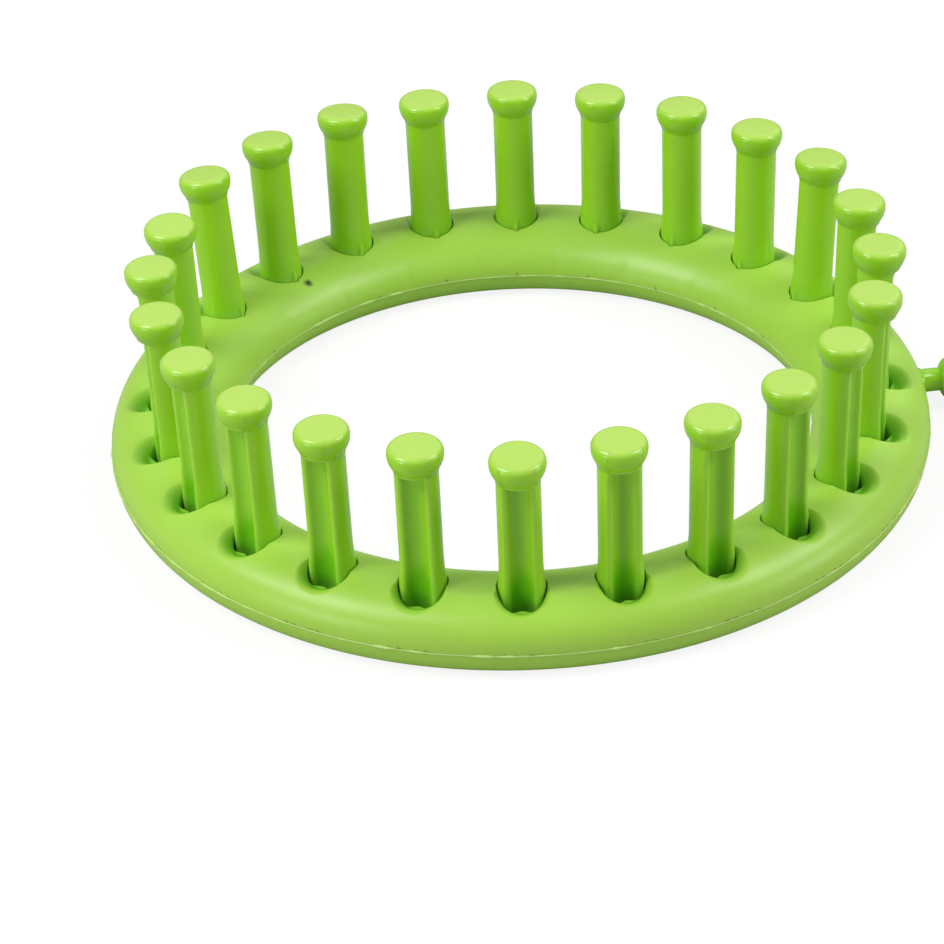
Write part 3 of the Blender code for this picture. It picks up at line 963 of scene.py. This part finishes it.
def plastic(name):
    """A moulded plastic, made when it is first asked for."""
    if name in bpy.data.materials:
        return bpy.data.materials[name]
    finish = bpy.context.scene.loom_finish
    # The second value is how strong the painted highlight on convex edges is
    gloss, thin, cloud_scale, *keys = PLASTICS[name]
    pale, deep, roughness, grain = (getattr(finish, key) for key in keys)
    material = bpy.data.materials.new(name)
    material.use_nodes = True
    tree = material.node_tree
    shader = tree.nodes["Principled BSDF"]
    pigment = place_group(tree, uneven_pigment, Colour=solid(pale), Deep_Colour=solid(deep),
                          Cloud_Scale=cloud_scale, Amount=PIGMENT_AMOUNT)
    # Masks for the painted highlight on convex edges and the painted shade in the hollows
    edges = place_group(tree, painted_light_and_shade, Sharpness=EDGE_SHARPNESS, Amount=thin,
                        Hollow_Amount=PAINTED_SHADE_AMOUNT)
    skin = place_group(tree, moulded_skin, Grain_Scale=GRAIN_SCALE, Roughness=roughness,
                       Spread=ROUGHNESS_SPREAD)
    bump = add_node(tree, "Bump")
    fill(tree, bump, Strength=BUMP_STRENGTH, Distance=grain, Height=skin.outputs["Height"])
    fill(tree, shader, Base_Color=pigment.outputs["Colour"], Roughness=skin.outputs["Roughness"],
         Normal=bump.outputs["Normal"], IOR=PLASTIC_IOR, Specular_IOR_Level=gloss,
         Subsurface_Weight=finish.translucency, Subsurface_Radius=LIGHT_REACH,
         Subsurface_Scale=finish.depth_of_light)
    # Painted shade in the hollows
    overlay(tree, edges.outputs["Painted Shade"], finish.painted_shade_colour)
    # Painted highlight on convex edges
    overlay(tree, edges.outputs["Mask"], finish.edge_highlight_colour)
    if name in MARKS:
        MARKS[name](tree)
    return material


def overlay(tree, mask, rgb):
    """Lay a colour over what a plastic shows, where a mask says."""
    base = tree.nodes["Principled BSDF"].inputs["Base Color"]
    under = base.links[0].from_socket
    tree.links.new(blend_colours(tree, mask, under, solid(rgb)), base)


def add_speck(tree):
    """One burnt grain in the deck."""
    finish = bpy.context.scene.loom_finish
    away = add_node(tree, "VectorMath", operation="DISTANCE")
    tree.links.new(object_place(tree), away.inputs[0])
    away.inputs[1].default_value = finish.speck_place
    rag = noise_value(tree, object_place(tree), SPECK_RAG_SCALE, detail=2, roughness=0.5)
    ragged = arithmetic(tree, "MULTIPLY", rag, finish.speck_size * SPECK_RAG)
    edge = arithmetic(tree, "ADD", away.outputs["Value"], ragged)
    core, rim = finish.speck_size * SPECK_CORE, finish.speck_size * SPECK_RIM
    overlay(tree, stretch(tree, edge, core, rim, to_low=1.0, to_high=0.0), finish.speck_colour)


def paint_head_highlights(tree):
    """The heads' paler tops: a painted highlight where light falls on them from above."""
    scene = bpy.context.scene
    finish, peg = scene.loom_finish, scene.loom_peg
    apart = add_node(tree, "SeparateXYZ")
    tree.links.new(object_place(tree), apart.inputs[0])
    painted_highlight = stretch(tree, apart.outputs["Z"], peg.height - peg.highlight_depth, peg.height - peg.top_dome)
    overlay(tree, painted_highlight, finish.head_highlight_colour)


# The speck is a real burnt grain; the pegs' pale head tops are a painted highlight
MARKS = {"satin_lime_plastic": add_speck, "glossy_green_plastic": paint_head_highlights}


def white_floor(stage):
    """A floor that shows white to the camera, keeps a soft shadow and lights the loom more faintly."""
    material = bpy.data.materials.new("white_floor")
    material.use_nodes = True
    tree = material.node_tree
    tree.nodes.clear()
    output = add_node(tree, "OutputMaterial")
    room = add_node(tree, "BsdfDiffuse")
    path = add_node(tree, "LightPath")
    mirrored = path.outputs["Is Glossy Ray"]
    fill(tree, room, Color=stretch(tree, mirrored, 0.0, 1.0, stage.floor_bounce, stage.floor_mirrored))
    faint = add_node(tree, "BsdfDiffuse")
    fill(tree, faint, Color=solid((stage.floor_shade,) * 3))
    glow = add_node(tree, "Emission")
    fill(tree, glow, Strength=stage.floor_light)
    seen = add_node(tree, "AddShader")
    choice = add_node(tree, "MixShader")
    for source, target in (
            (faint.outputs[0], seen.inputs[0]), (glow.outputs[0], seen.inputs[1]),
            (path.outputs["Is Camera Ray"], choice.inputs[0]), (room.outputs[0], choice.inputs[1]),
            (seen.outputs[0], choice.inputs[2]), (choice.outputs[0], output.inputs[0])):
        tree.links.new(source, target)
    return material


def white_room(stage):
    """A world that shows white to the camera and through clear things, and lights the loom more faintly."""
    world = bpy.data.worlds.new("white_room")
    bpy.context.scene.world = world
    world.use_nodes = True
    tree = world.node_tree
    path = add_node(tree, "LightPath")
    seen = arithmetic(tree, "MAXIMUM", path.outputs["Is Camera Ray"], path.outputs["Is Transmission Ray"])
    strength = stretch(tree, seen, 0.0, 1.0, stage.room_light, 1.0)
    fill(tree, tree.nodes["Background"], Color=solid((1, 1, 1)), Strength=strength)


# Operators


class LoomOperator:
    """What every operator of the loom shares."""

    bl_options = {"REGISTER", "UNDO"}


class LOOM_OT_upper_shell(LoomOperator, bpy.types.Operator):
    """Make the domed deck with its sockets and scoops"""

    bl_idname = "loom.upper_shell"
    bl_label = "Upper shell"

    def execute(self, context):
        scene = context.scene
        mesh = upper_shell_mesh(scene.loom_ring, scene.loom_peg, scene.loom_socket)
        add_ring_piece("upper_shell", mesh, "satin_lime_plastic", "ring_plastic", "ring_upper_shell")
        return {"FINISHED"}


class LOOM_OT_lower_shell(LoomOperator, bpy.types.Operator):
    """Make the flat base of the ring"""

    bl_idname = "loom.lower_shell"
    bl_label = "Lower shell"

    def execute(self, context):
        mesh = lower_shell_mesh(context.scene.loom_ring)
        add_ring_piece("lower_shell", mesh, "satin_lime_plastic", "ring_plastic", "ring_lower_shell")
        return {"FINISHED"}


class LOOM_OT_seam(LoomOperator, bpy.types.Operator):
    """Make the flash round the outer and the inner seam"""

    bl_idname = "loom.seam"
    bl_label = "Seam flash"

    def execute(self, context):
        ring, seam = context.scene.loom_ring, context.scene.loom_seam
        sides = {"seam_outer": ring.outer_radius - seam.sunk, "seam_inner": ring.inner_radius + seam.sunk}
        for seed, (name, radius) in enumerate(sides.items()):
            mesh = seam_mesh(radius, ring, seam, seed)
            # The flash wears a painted highlight
            add_ring_piece(name, mesh, "flash_highlight_plastic", "ring_plastic")
        return {"FINISHED"}


class LOOM_OT_pegs(LoomOperator, bpy.types.Operator):
    """Make the grooved, keyed pegs"""

    bl_idname = "loom.pegs"
    bl_label = "Pegs"

    def execute(self, context):
        ring, peg = context.scene.loom_ring, context.scene.loom_peg
        mesh = peg_mesh(peg)
        mesh.name = "loom_peg"
        mesh.materials.append(plastic("glossy_green_plastic"))
        for node in PEG_NODES:
            add_piece(f"grooved_{node}", mesh, peg_matrix(node, ring, peg), "peg_plastic", node)
        return {"FINISHED"}


class LOOM_OT_anchor(LoomOperator, bpy.types.Operator):
    """Make the peg in the ring's side that holds the yarn's tail"""

    bl_idname = "loom.anchor"
    bl_label = "Anchor peg"

    def execute(self, context):
        ring, anchor = context.scene.loom_ring, context.scene.loom_anchor
        mesh = anchor_mesh(anchor)
        out = Matrix.Translation((ring.outer_radius, 0, ring.seam_height))
        mesh.transform(out @ Matrix.Rotation(math.pi / 2, 4, "Y"))
        add_ring_piece("yarn_anchor", mesh, "glossy_green_plastic", "peg_plastic", "anchor_peg")
        return {"FINISHED"}


class LOOM_OT_stage(LoomOperator, bpy.types.Operator):
    """Set the camera, the lamps and the white room"""

    bl_idname = "loom.stage"
    bl_label = "Stage"

    def execute(self, context):
        stage = context.scene.loom_stage
        add_camera(context.scene, stage)
        for name, (bearing, height, size, power) in SOFTBOXES.items():
            add_lamp(name, lamp_place(bearing, height, stage), size, power)
        white_room(stage)
        add_floor(stage)
        context.scene.view_settings.view_transform = "Standard"
        return {"FINISHED"}


def add_camera(scene, stage):
    """The camera at the photograph's place."""
    lens = bpy.data.cameras.new("loom_camera")
    lens.sensor_width = SENSOR_WIDTH
    lens.lens = stage.lens
    camera = bpy.data.objects.new("loom_camera", lens)
    camera.location = Vector((RING_AXIS_X, 0, 0)) + Vector(stage.camera_place)
    camera.rotation_euler = Euler(stage.camera_turn)
    scene.collection.objects.link(camera)
    scene.camera = camera


def lamp_place(bearing, height, stage):
    """Where a softbox stands, turned round from the camera's side and raised over the floor."""
    camera_x, camera_y, _ = stage.camera_place
    turn = math.atan2(camera_y, camera_x) + math.radians(bearing)
    rise = math.radians(height)
    along = Vector((math.cos(turn) * math.cos(rise), math.sin(turn) * math.cos(rise), math.sin(rise)))
    return along * stage.lamp_distance


def add_lamp(name, place, size, power):
    """A square softbox that looks at the loom."""
    lamp = bpy.data.lights.new(name, "AREA")
    lamp.shape = "SQUARE"
    lamp.size = size
    lamp.energy = power
    item = bpy.data.objects.new(name, lamp)
    item.location = place
    item.rotation_euler = Vector(place).to_track_quat("Z", "Y").to_euler()
    bpy.context.scene.collection.objects.link(item)


def add_floor(stage):
    """A large white floor."""
    half = stage.floor_size / 2
    mesh = bpy.data.meshes.new("floor")
    corners = [(-half, -half), (half, -half), (half, half), (-half, half)]
    mesh.from_pydata([(x, y, -stage.floor_gap) for x, y in corners], [], [(0, 1, 2, 3)])
    mesh.materials.append(white_floor(stage))
    floor = bpy.data.objects.new("floor", mesh)
    bpy.context.scene.collection.objects.link(floor)


OPERATORS = (LOOM_OT_upper_shell, LOOM_OT_lower_shell, LOOM_OT_seam, LOOM_OT_pegs, LOOM_OT_anchor,
             LOOM_OT_stage)


class LOOM_PT_panel(bpy.types.Panel):
    """The loom's pieces and their sizes"""

    bl_idname = "LOOM_PT_panel"
    bl_label = "Knitting loom"
    bl_space_type = "VIEW_3D"
    bl_region_type = "UI"
    bl_category = "Loom"

    def draw(self, context):
        for operator in OPERATORS:
            self.layout.operator(operator.bl_idname)
        for attribute, group in SETTINGS.items():
            box = self.layout.box()
            box.label(text=group.__doc__)
            for key in group.__annotations__:
                box.prop(getattr(context.scene, attribute), key)


CLASSES = (*SETTINGS.values(), *OPERATORS, LOOM_PT_panel)


def register():
    """Make the loom's settings, operators and panel known to Blender."""
    for item in CLASSES:
        bpy.utils.register_class(item)
    for attribute, group in SETTINGS.items():
        setattr(bpy.types.Scene, attribute, bpy.props.PointerProperty(type=group))


def unregister():
    """Take them away again."""
    for attribute in SETTINGS:
        delattr(bpy.types.Scene, attribute)
    for item in reversed(CLASSES):
        bpy.utils.unregister_class(item)


def main():
    """Build every piece."""
    register()
    for operator in OPERATORS:
        family, name = operator.bl_idname.split(".")
        getattr(getattr(bpy.ops, family), name)()


if __name__ == "__main__":
    main()
